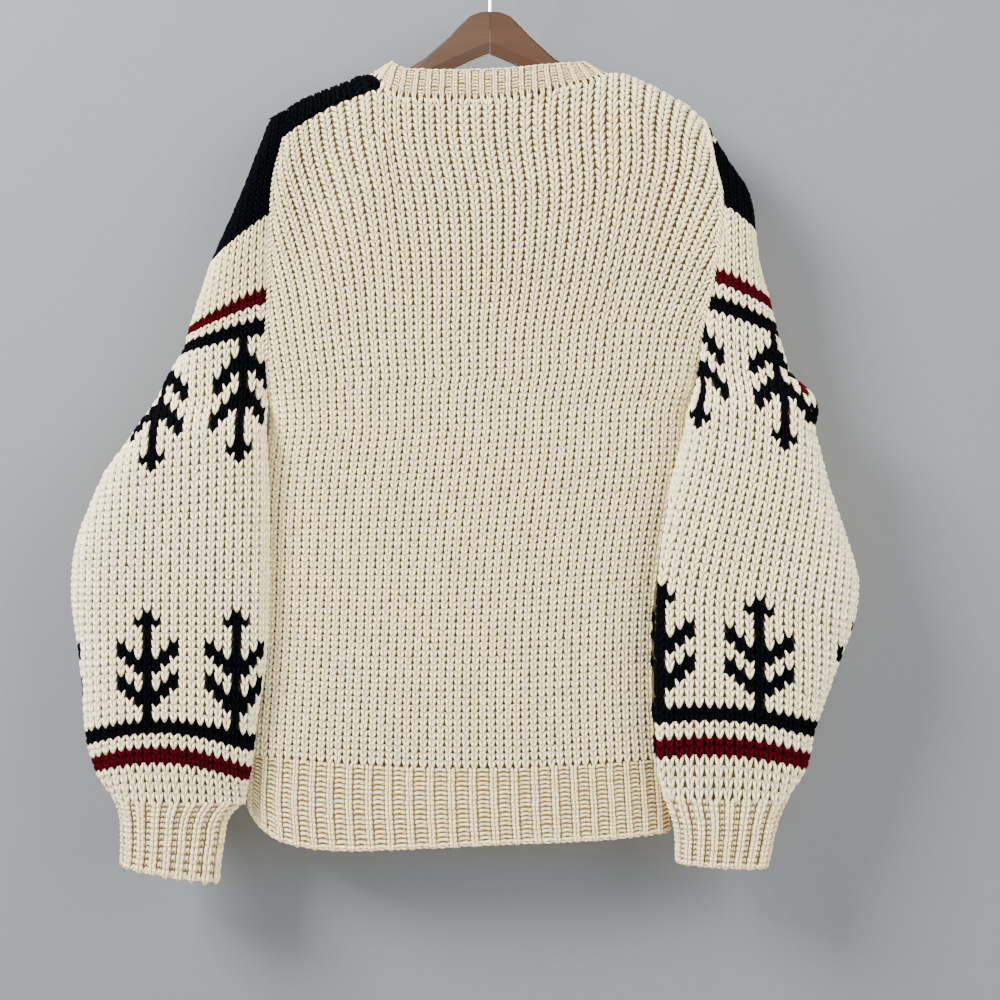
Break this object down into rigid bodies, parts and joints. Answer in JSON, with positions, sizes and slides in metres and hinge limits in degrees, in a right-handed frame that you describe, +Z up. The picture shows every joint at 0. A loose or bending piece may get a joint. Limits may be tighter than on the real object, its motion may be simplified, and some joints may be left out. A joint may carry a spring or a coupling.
{
  "type": "knitted pullover sweater on a wooden clothes hanger",
  "caption": "Chunky knitted crew-neck pullover with ribbed hem, cuffs and neckband, hanging by its shoulders from a wooden hanger with a wire hook.",
  "frame": {"origin": "inner top of the hanger's hook, where it rests on a rail", "axes": "+Z up, +X to the right as seen from the back of the garment, -Y the way the back faces"},
  "size_m": [0.6935, 0.08, 0.8602],
  "materials": {
    "cream_wool": "matt chunky stocking stitch",
    "cream_rib": "matt chunky ribbing",
    "pale_beech": "smooth lacquered wood",
    "steel_wire": "bright drawn wire"
  },
  "bodies": {
    "root": {"back_panel": "cream_wool", "front_panel": "cream_wool", "sleeve_left": "cream_wool", "sleeve_right": "cream_wool", "back_hem_rib": "cream_rib", "front_hem_rib": "cream_rib", "cuff_left": "cream_rib", "cuff_right": "cream_rib", "neckband": "cream_rib", "hanger_arm_left": "pale_beech", "hanger_arm_right": "pale_beech", "hanger_hook": "steel_wire"}
  },
  "joints": []
}
